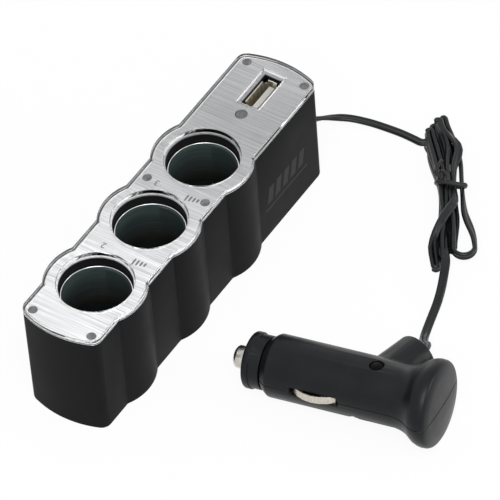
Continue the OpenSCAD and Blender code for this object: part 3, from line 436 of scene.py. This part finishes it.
lead = {
    "width": 3.0, "thick": 1.5, "outletZ": 8.0, "wallIn": 64.2, "wallOut": 69.9,
    "outRoute": [[74, -0.5, 7.5], [80, -2.6, 4.9], [85, -5.6, 2.6], [88.4, -10.4, 1.7], [90.4, -17, 1.2],
                 [91.3, -23, 0.9], [91.6, -28.5, 0.9], [91.3, -33.4, 1.1], [90.9, -37.2, 1.4]],
    "inRoute": [[46.5, -73.3, 5], [42.3, -75.2, 4.5], [37.7, -76.9, 2.8], [33, -78.2, 1.2], [27.5, -79.6, 0.9],
                [21.9, -81.1, 0.9], [17.4, -82.7, 1.7], [13.6, -85.2, 4.6], [10.8, -88, 8]],
    "bossLean": 17.0, "bossS": 21.0, "bossReach": 20.6, "bossInside": 6, "step": 0.6, "smoothing": 3,
    "arc": 130, "arcPoints": 14, "runPoints": 14, "foldPoints": 13,   # arc: degrees each way round a wire's outline
    "at": (101.0, -36.0), "turn": 215.6, "waist": 33.0, "row": 3.45, "lie": 1.55, "lift": 0.7, "liftReach": 8.0,
    # side place at the waist, row at the waist, at the top and at the bottom, side place at the top and at the bottom
    "runs": [[-0.65, 0, 0, 0, -3.1, -2.6], [0.85, 0, 0, 0, -1.5, -1.15], [2.35, 0, 0, 0, 0.0, 0.25],
             [3.85, 0, 0, 0, 2.3, 1.75], [6.35, 0.5, 0, 1, 3.6, 8.5], [2.35, 1, 1, 1, 0.05, 1.4],
             [3.85, 1, 1, 0, 1.55, -5.4], [-0.65, 1, 1, 0, -3.1, -3.8], [0.85, 1, 1, 1, -1.6, -1.35]],
    "topTurn": [14.5, 2.7, 2.7, -0.9, -0.9, 3.3, 3.3, 7.7, 7.7],
    "lowTurn": [60.5, 60.5, 57.6, 57.6, 60.6, 60.6, 64.9, 64.9, 60],
    "lowFrom": {3: (43, 58), 4: (42, 58), 6: (38, 59), 7: (43, 57)},   # runs that go across between two places
    "dropFrom": 47.0,
    # swells of a run: run, place along the hank, half width, shift sideways, shift up, lean of its wide side in degrees
    "swells": [[6, 16.0, 7.5, 4.1, 0.6, 75], [4, 18.0, 9.0, 1.5, 0.3, 0], [4, 8.0, 5.0, 0.7, 0, 0],
               [3, 16.0, 9.0, 1.5, 0, 45], [5, 13.0, 9.0, 2.0, 0, -45], [2, 14.0, 9.0, 1.1, 0, 40],
               [7, 16.0, 8.0, 0, 0, -30], [8, 16.0, 8.0, 0.3, 0, -30], [6, 46.0, 7.0, 0, 2.6, 80],
               [6, 57.0, 6.0, 0, 0, 50], [7, 57.0, 8.0, 0, 0, 45], [0, 53.0, 9.0, 0, 0, 35],
               [1, 53.0, 9.0, 0, 0, 35], [3, 54.0, 9.0, 0, 0, -45], [5, 52.0, 9.0, 0, 0, -45],
               [4, 49.0, 8.0, 0, 0, 55], [8, 58.0, 9.0, 0, 0, 80]],
    # lean of the wide side, in degrees, by the way that the lead has gone from the outlet
    "flatOut": [(0, 0), (12, 10), (26, 86), (60, 86), (71, 10)]}


def inHank(s, t, z):
    # Hank coordinates, s along it and t across it, turned on the floor to where the hank lies.
    w = np.radians(lead["turn"])
    s, t, z = np.broadcast_arrays(s, t, z)
    x, y = lead["at"]
    return np.stack([x + s * np.cos(w) - t * np.sin(w), y + s * np.sin(w) + t * np.cos(w), z], -1)


def ease(u):
    # A smooth step from 0 to 1, level at both ends.
    return u * u * (3 - 2 * u)


def unit(v):
    # Each row scaled to length 1.
    return v / np.linalg.norm(v, axis=-1, keepdims=True)


def hankRun(i, down, up):
    # One run from its top to its bottom, each point with its lean: it drifts sideways by a smooth step between the
    # waist and each end, changes row the same way, is lifted at the waist, and has bell-shaped swells. The last run
    # keeps the lean of its swells from their middle on.
    last = len(lead["runs"]) - 1
    atWaist, rowWaist, rowTop, rowLow, tTop, tLow = lead["runs"][i]
    parts = []
    for end, side, rowEnd, u in ((lead["topTurn"][i], tTop, rowTop, down), (lead["lowTurn"][i], tLow, rowLow, up)):
        s = lead["waist"] + (end - lead["waist"]) * u
        drift = ease(u)
        if side == tLow and i in lead["lowFrom"]:
            a, b = lead["lowFrom"][i]
            drift = ease(np.clip((s - a) / (b - a), 0, 1))
        t = atWaist + (side - atWaist) * drift
        fall = ease(np.clip((s - lead["dropFrom"]) / (end - lead["dropFrom"]), 0, 1)) if rowEnd < rowWaist else ease(u)
        lift = lead["lift"] * np.exp(-((s - lead["waist"]) / lead["liftReach"]) ** 2)
        z = lead["lie"] + lead["row"] * (rowWaist + (rowEnd - rowWaist) * fall) + lift
        lean = 0 * s
        for run, at, wide, dt, dz, turn in lead["swells"]:
            if run == i:
                bell = np.exp(-((s - at) / wide) ** 2)
                held = np.where((run == last) & (s > at), 1, bell)
                t, z, lean = t + dt * bell, z + dz * bell, lean + turn * held
        parts.append(np.hstack([inHank(s, t, z), lean[:, None]]))
    line = np.vstack(parts)
    return line if i % 2 == 0 else line[::-1] * [1, 1, 1, -1]


def hankFold(i):
    # Half circle from one run's end to the next one's, flat on its row.
    low = i % 2 == 0
    a, b = (lead["runs"][k][5 if low else 4] for k in (i, i + 1))
    s = (lead["lowTurn"] if low else lead["topTurn"])[i]
    z = lead["lie"] + lead["runs"][i][3 if low else 2] * lead["row"]
    q = np.linspace(0, np.pi, lead["foldPoints"])[1:-1]
    p = inHank(s + (1 if low else -1) * abs(a - b) / 2 * np.sin(q), (a + b) / 2 + (a - b) / 2 * np.cos(q), z)
    return np.hstack([p, 0 * p[:, :1]])


def bossPoint(out):
    # A point on the boss's axis, so far out from the barrel's.
    a = np.radians(lead["bossLean"])
    return inPlug([lead["bossS"] - out * np.sin(a), -out * np.cos(a), 0.0])


def leadLine():
    # The whole centreline with its lean in a fourth column, evenly spaced.
    down, up = np.linspace(1, 0, lead["runPoints"]), np.linspace(0, 1, lead["runPoints"])[1:]
    width, lie = lead["width"], lead["lie"]
    hank = [hankRun(0, down, up)]
    for i in range(1, len(lead["runs"])):
        hank += [hankFold(i - 1), hankRun(i, down, up)]
    first, last = lead["runs"][0], lead["runs"][-1]
    hankIn = inHank(lead["topTurn"][0] - width, first[4], lie)
    before = inHank(lead["topTurn"][0] - 2 * width, first[4], lie)
    hankOut = inHank(lead["lowTurn"][-1] + width, last[5], lie + lead["row"])
    wall = [[lead["wallIn"], 0, lead["outletZ"]], [lead["wallOut"], 0, lead["outletZ"]]]
    out = splineThrough([*wall, *lead["outRoute"], before, hankIn])
    reach = lead["bossReach"]
    back = splineThrough([hankOut, *lead["inRoute"], bossPoint(reach + width), bossPoint(reach),
                          bossPoint(reach - lead["bossInside"])])
    far = np.r_[0, np.cumsum(np.linalg.norm(np.diff(out, axis=0), axis=1))]
    outLean = np.interp(far, *np.array(lead["flatOut"]).T)
    line = evenly(np.vstack([np.c_[out, outLean], *hank, np.c_[back, 90 + 0 * back[:, 0]]]), lead["step"])
    for _ in range(lead["smoothing"]):
        line[1:-1] = (line[:-2] + 2 * line[1:-1] + line[2:]) / 4
    return line


def leadSection():
    # Two round wires side by side with a web between them: two arcs that stop 50 degrees short of meeting.
    r = lead["thick"] / 2
    a = np.radians(np.linspace(-lead["arc"], lead["arc"], lead["arcPoints"]))
    one = np.stack([r + r * np.cos(a), r * np.sin(a)], 1)
    return np.vstack([one, -one])


def swept(line, section, lean, upright=(0, 0, 1)):
    # The section carried along the line: each point is line + first coordinate * wide + second coordinate * thin,
    # where wide stands upright, turned about the line by the lean, and thin is square to both.
    upright = np.array(upright, float)
    along = unit(np.gradient(line, axis=0))
    up = unit(upright - along * (along @ upright)[:, None])
    side = np.cross(along, up)
    c, s = np.cos(lean)[:, None], np.sin(lean)[:, None]
    wide, thin = up * c + side * s, side * c - up * s
    pts = line[:, None, :] + section[None, :, :1] * wide[:, None, :] + section[None, :, 1:] * thin[:, None, :]
    rows, cols = len(line), len(section)
    ends = [list(range(cols))[::-1], [(rows - 1) * cols + k for k in range(cols)]]
    return pts.reshape(-1, 3), [*gridFaces(rows, cols).tolist(), *ends]


def tube(line, r, upright, sides=12):
    # A round wire along the line: r cos a and r sin a across it.
    a = np.linspace(0, 2 * np.pi, sides, endpoint=False)
    return swept(line, np.stack([r * np.cos(a), r * np.sin(a)], 1), np.zeros(len(line)), upright)


leadPath = leadLine()
centre = leadPath[:, :3]
flatLead = makePiece("flatLead", *swept(centre, leadSection(), np.radians(leadPath[:, 3])), leadBlack,
                     slot="lead_black", sharp=75)
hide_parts("cord_to_hank", "cord_hank", "cord_to_plug")

tie = {"along": 30.3, "slant": 2.4, "lean": 3.0, "wire": 0.85, "thin": 0.68, "halfWide": 4.6, "halfHigh": 3.7,
       "middle": 2.9, "height": 4.65, "power": 4, "points": 72, "pitch": 3.4, "closeness": 0.95, "step": 0.25,
       "twist": [[33.6, 1.5, 8.7], [31.8, 0.4, 8.9], [29.8, -0.7, 8.3], [28.2, -1.3, 7.6]],
       "tails": [[[28.4, -1.5, 7.6], [27.2, -1.2, 8.4], [25.6, -0.2, 8.6], [23.9, 0.6, 8.2]],
                 [[33.8, 1.9, 8.9], [32.6, 1.8, 9.7], [31.0, 1.0, 10.0], [29.8, 0.1, 9.6]],
                 [[28.6, -1.0, 7.9], [27.9, -1.7, 7.7], [28.1, -2.3, 7.1]]]}


def tieLine():
    # A rounded rectangle round the waist, |side| ^ 4 + |rise| ^ 4 = 1; from left to right it moves along the hank by
    # a smooth step.
    power = tie["power"]
    q = np.linspace(0, 2 * np.pi, tie["points"], endpoint=False)
    c, s = np.cos(q), np.sin(q)
    f = (np.abs(c) ** power + np.abs(s) ** power) ** (-1 / power)
    side = c * f
    along = tie["along"] + tie["slant"] * ease((side + 1) / 2) + tie["lean"] * s * f
    return inHank(along, tie["middle"] + tie["halfWide"] * side, tie["height"] + tie["halfHigh"] * s * f)


def twisted(path, phase):
    # One of two wires wound about a path: its centre circles the path at a little less than the wire's radius. The
    # vector is any one that the path never follows.
    line = evenly(splineThrough(path), tie["step"])
    along = unit(np.gradient(line, axis=0))
    side = unit(np.cross(along, [0.3, 0.2, 1.0]))
    third = np.cross(along, side)
    q = 2 * np.pi * np.arange(len(line)) * tie["step"] / tie["pitch"] + phase
    return line + tie["thin"] * tie["closeness"] * (np.cos(q)[:, None] * side + np.sin(q)[:, None] * third)


def joinParts(parts):
    # Several closed tubes as one list of points and faces.
    points, faces, start = [], [], 0
    for p, f in parts:
        points.append(np.asarray(p))
        faces += [[v + start for v in face] for face in f]
        start += len(p)
    return np.vstack(points), faces


def makeTie():
    # The ring round the waist, two thin wires wound about each other, and their loose ends.
    way = inHank(1, 0, 0) - inHank(0, 0, 0)
    across = inHank(0, 1, 0) - inHank(0, 0, 0)
    ring = np.vstack([tieLine(), tieLine()[:2]])
    wires = [twisted(inHank(*np.array(tie["twist"]).T), phase) for phase in (0.0, np.pi)]
    wires += [evenly(splineThrough(inHank(*np.array(tail).T)), tie["step"]) for tail in tie["tails"]]
    bits = [tube(ring, tie["wire"], way), *(tube(line, tie["thin"], across) for line in wires)]
    return makePiece("tieWire", *joinParts(bits), tieBlack, slot="tie_black", node="twist_tie", sharp=60)


tieWire = makeTie()

housing = {"shellTop": 39.7, "plateTop": 40.2, "sockets": [-43.50, -12.50, 18.51], "sideY": 14.55, "cutBelow": 0.01,
           "lipRadius": (11.28, 11.84), "lipZ": (36.08, 36.66), "lipEdge": 0.2, "lipSteps": 4, "lipAround": 128,
           "pegs": [(-62.4, 11.1), (3.0, 11.1), (62.4, 11.1)], "pegRadius": 1.5, "pegFoot": 38.3, "pegOver": 0.1,
           "pegEdge": 0.12, "pegAround": 48}

# node: (material, rounding of its edges in millimetres, segments)
housingLooks = {
    "housing_shell": (housingBlack, 0.35, 3), "base_cover": (housingBlack, 0.25),
    "label_plate": (plateBrushed, 0.05, 1), "socket_liner_1": (linerMetal, 0.10), "socket_liner_2": (linerMetal, 0.10),
    "socket_liner_3": (linerMetal, 0.10), "port_shell": (portMetal, 0.07, 1), "port_tongue": (tongueIvory, 0.12),
    "power_light": (lensGrey, 0.12), "cord_grommet": (rubberBlack, 0.25)}
for nodeName, look in housingLooks.items():
    refined(nodeName, *look)


def makeCover():
    # The clear cover without its pegs, which are frosted and so have a finish of their own.
    mesh = refined("clear_cover", clearAcrylic, 0.3, segments=3).data
    b = opened(mesh)
    below = (housing["shellTop"] - housing["cutBelow"]) * mm
    bmesh.ops.delete(b, geom=[v for v in b.verts if v.co.z < below], context="VERTS")
    bmesh.ops.holes_fill(b, edges=[e for e in b.edges if e.is_boundary], sides=0)
    bmesh.ops.recalc_face_normals(b, faces=b.faces)
    writeBack(b, mesh)


def makePegs():
    # Short round posts with a soft edge, from the deck up to just under the cover.
    r, z0, z1 = housing["pegRadius"], housing["pegFoot"], housing["plateTop"] + housing["pegOver"]
    profile = rounded([[0, z1], [r, z1], [r, z0], [0, z0]], housing["pegEdge"])
    parts = [revolved(profile, (x, side), housing["pegAround"]) for x, y in housing["pegs"] for side in (y, -y)]
    makePiece("coverPegs", *joinParts(parts), pegFrost, slot="clear_plastic")


def makeLips():
    # Bright rings on the liners' upper edges.
    (r0, r1), (z0, z1) = housing["lipRadius"], housing["lipZ"]
    profile = rounded([[r0, z0], [r1, z0], [r1, z1], [r0, z1]], housing["lipEdge"], housing["lipSteps"], close=True)
    for i, x in enumerate(housing["sockets"]):
        makePiece("socketLip_%d" % (i + 1), *revolved(profile, (x, 0), housing["lipAround"], closeRows=True), lipNickel,
                  slot="liner_steel")


makeCover()
makePegs()
makeLips()
print("housing dressed")

marks = {"numerals": [("3", (2.6, 7.1)), ("2", (-28.5, 6.9))], "height": 3.3, "thick": 0.03,
         "curveSteps": 4, "ticks": [(2.4, -6.4), (-29.0, -6.9)], "tick": (0.55, 1.5, 0.75), "tickCount": 4,
         "growth": 0.25,
         "bars": {"x0": 32.2, "pitch": 4.6, "count": 5, "wide": 2.9, "lean": 1.6, "z": (14.2, 20.8), "out": 0.02,
                  "sunk": 0.01, "line": ([31.0, 11.4], [56.0, 12.2])}}


def boxPart(lows, highs):
    # Eight corners and six faces of a block between two corners.
    c = np.array([[a, b, d] for a in (0, 1) for b in (0, 1) for d in (0, 1)])
    faces = [[0, 1, 3, 2], [4, 6, 7, 5], [0, 4, 5, 1], [2, 3, 7, 6], [0, 2, 6, 4], [1, 5, 7, 3]]
    return np.array(lows) + c * (np.array(highs) - np.array(lows)), faces


def makeNumeral(text, x, y):
    # A numeral printed on the plate: it reads toward +Y with its top toward -X.
    data = bpy.data.curves.new("numeral", "FONT")
    data.body, data.size, data.align_x, data.align_y = text, marks["height"], "CENTER", "CENTER"
    data.extrude = marks["thick"] / 2
    data.resolution_u = marks["curveSteps"]
    holder = bpy.data.objects.new("numeral", data)
    scene.collection.objects.link(holder)
    flat = bpy.data.meshes.new_from_object(holder.evaluated_get(bpy.context.evaluated_depsgraph_get()))
    bpy.data.objects.remove(holder)
    p = np.empty(len(flat.vertices) * 3)
    flat.vertices.foreach_get("co", p)
    p = p.reshape(-1, 3)
    turned = np.stack([x - p[:, 1], y + p[:, 0], housing["plateTop"] + marks["thick"] / 2 + p[:, 2]], 1)
    return turned, [list(f.vertices) for f in flat.polygons]


def makeMarks():
    # The numerals, and by each a row of ticks that grow by a quarter of the first one's length.
    parts = [makeNumeral(text, *at) for text, at in marks["numerals"]]
    wide, high, gap = marks["tick"]
    z = housing["plateTop"]
    for x, y in marks["ticks"]:
        for k in range(marks["tickCount"]):
            y0 = y + (k - marks["tickCount"] / 2) * (wide + gap)
            tall = high * (1 + marks["growth"] * k)
            parts.append(boxPart([x + high / 2 - tall, y0, z], [x + high / 2, y0 + wide, z + marks["thick"]]))
    makePiece("plateMarks", *joinParts(parts), inkDark, slot="parts_dark", sharp=30)


def makeBars():
    # Slanted bars over a thin line, printed on the side toward the port: they stand a hair proud of the wall.
    b = marks["bars"]
    front, back = -housing["sideY"] - b["out"], -housing["sideY"] + b["sunk"]
    low, high = b["z"]
    parts = []
    for k in range(b["count"]):
        x = b["x0"] + k * b["pitch"]
        p, f = boxPart([x, front, low], [x + b["wide"], back, high])
        p[:, 0] += b["lean"] * (p[:, 2] - low) / (high - low)
        parts.append((p, f))
    (x0, z0), (x1, z1) = b["line"]
    parts.append(boxPart([x0, front, z0], [x1, back, z1]))
    makePiece("sideBars", *joinParts(parts), inkGrey, slot="housing_black", sharp=30)


makeMarks()
makeBars()
print("marks printed")

spring = {"back": 20.67, "front": 29.88, "radius": 2.4, "wire": 0.38, "turns": 5, "steps": 24, "keep": 0.755}


def makeSpring():
    # A helix: evenly along the barrel, with radius cos and radius sin of the turn across it.
    turn = np.linspace(0, 2 * np.pi * spring["turns"], spring["turns"] * spring["steps"] + 1)
    along = np.linspace(spring["back"] + spring["wire"], spring["front"] - spring["wire"], len(turn))
    line = inPlug(np.stack([along, spring["radius"] * np.cos(turn), spring["radius"] * np.sin(turn)], 1))
    coil = tube(line, spring["wire"], plugAxes[:, 0])
    obj = makePiece("tipSpring", *coil, springNickel, slot="spring_steel", node="tip_spring", sharp=60)
    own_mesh(obj)
    return obj


tipSpring = makeSpring()

# node: (material, rounding of its edges in millimetres)
plugLooks = {
    "plug_upper_shell": (plugBlack, 0.3), "plug_lower_shell": (plugBlack, 0.3), "nose_cap": (plugBlack, 0.22),
    "plug_light": (lensDark, 0.15), "side_contact_near": (springNickel, 0.08),
    "side_contact_far": (springNickel, 0.08), "contact_tip": (tipNickel, 0.12)}
plugMade = [refined(node, *look, harden="shell" not in node) for node, look in plugLooks.items()]
plugScrew = refined("plug_screw", screwBlack, 0.05, segments=1)
screwDown = 0.95   # millimetres; seats the screw just below the shell
plugScrew.data.transform(Matrix.Translation((plugAxes[:, 2] * screwDown * mm).tolist()))
print("plug dressed")

studio = {"floorHalf": 9, "floorWhite": 0.93, "worldLevel": 0.55}

# lamp: (place, aim, size, watts)
lamps = {"keyLamp": ((-0.7, -0.5, 1.3), (0.02, -0.03, 0), (0.9, 0.9), 14),
         "fillLamp": ((0.6, -1.3, 0.55), (0.0, -0.08, 0), (0.6, 0.6), 5.5),
         "rimLamp": ((0.85, 0.8, 0.24), (0.0, -0.1, 0.01), (0.6, 0.3), 1.2)}


def seenRays(t):
    # 1 for a ray that starts at the camera, or has come through something clear or off something shiny; else 0.
    path = t.nodes.new("ShaderNodeLightPath")
    seen = path.outputs["Is Camera Ray"]
    for ray in ("Is Transmission Ray", "Is Glossy Ray"):
        either = t.nodes.new("ShaderNodeMath")
        either.operation = "MAXIMUM"
        t.links.new(seen, either.inputs[0])
        t.links.new(path.outputs[ray], either.inputs[1])
        seen = either.outputs[0]
    return seen


def makeFloor():
    # The floor's own shading is mixed into plain white where it is seen directly or in a reflection.
    m, t, s = startMaterial("floorWhite", (0.93, 0.93, 0.93), 0.7, Specular_IOR_Level=0.1)
    n = place(t, mouldGrain, Grain=60.0, Patch=3.0)
    toColours(t, n.outputs["Patches"], (0.925, 0.925, 0.925), (0.935, 0.935, 0.935), s.inputs["Base Color"])
    glow = t.nodes.new("ShaderNodeEmission")
    white = toRange(t, seenRays(t), 0.0, studio["floorWhite"], None, 0, 1)
    mixed(t, white, s.outputs["BSDF"], glow.outputs["Emission"])
    half = studio["floorHalf"]
    mesh = bpy.data.meshes.new("floor")
    mesh.from_pydata([(-half, -half, 0), (half, -half, 0), (half, half, 0), (-half, half, 0)], [], [(0, 1, 2, 3)])
    obj = bpy.data.objects.new("floor", mesh)
    scene.collection.objects.link(obj)
    mesh.materials.append(m)


def makeWorld():
    # Plain white where it is seen, and a dimmer white where it only lights.
    w = bpy.data.worlds.new("studio")
    scene.world = w
    w.use_nodes = True
    t = w.node_tree
    b = t.nodes["Background"]
    b.inputs["Color"].default_value = (1, 1, 1, 1)
    toRange(t, seenRays(t), studio["worldLevel"], 1.0, b.inputs["Strength"], 0, 1)


def makeLamp(name, where, towards, size, power):
    # An upright rectangle of light turned towards a point: its own z axis points away from it.
    d = bpy.data.lights.new(name, "AREA")
    d.shape, d.size, d.size_y, d.energy = "RECTANGLE", *size, power
    o = bpy.data.objects.new(name, d)
    scene.collection.objects.link(o)
    z = unit(np.array(where, float) - np.array(towards, float))
    x = unit(np.cross([0, 0, 1.0], z))
    m = np.eye(4)
    m[:3, 0], m[:3, 1], m[:3, 2], m[:3, 3] = x, np.cross(z, x), z, where
    o.matrix_world = Matrix(m.tolist())


makeFloor()
makeWorld()
for lampName, lamp in lamps.items():
    makeLamp(lampName, *lamp)
print("floor and lamps placed")
scene.view_settings.view_transform = "Standard"
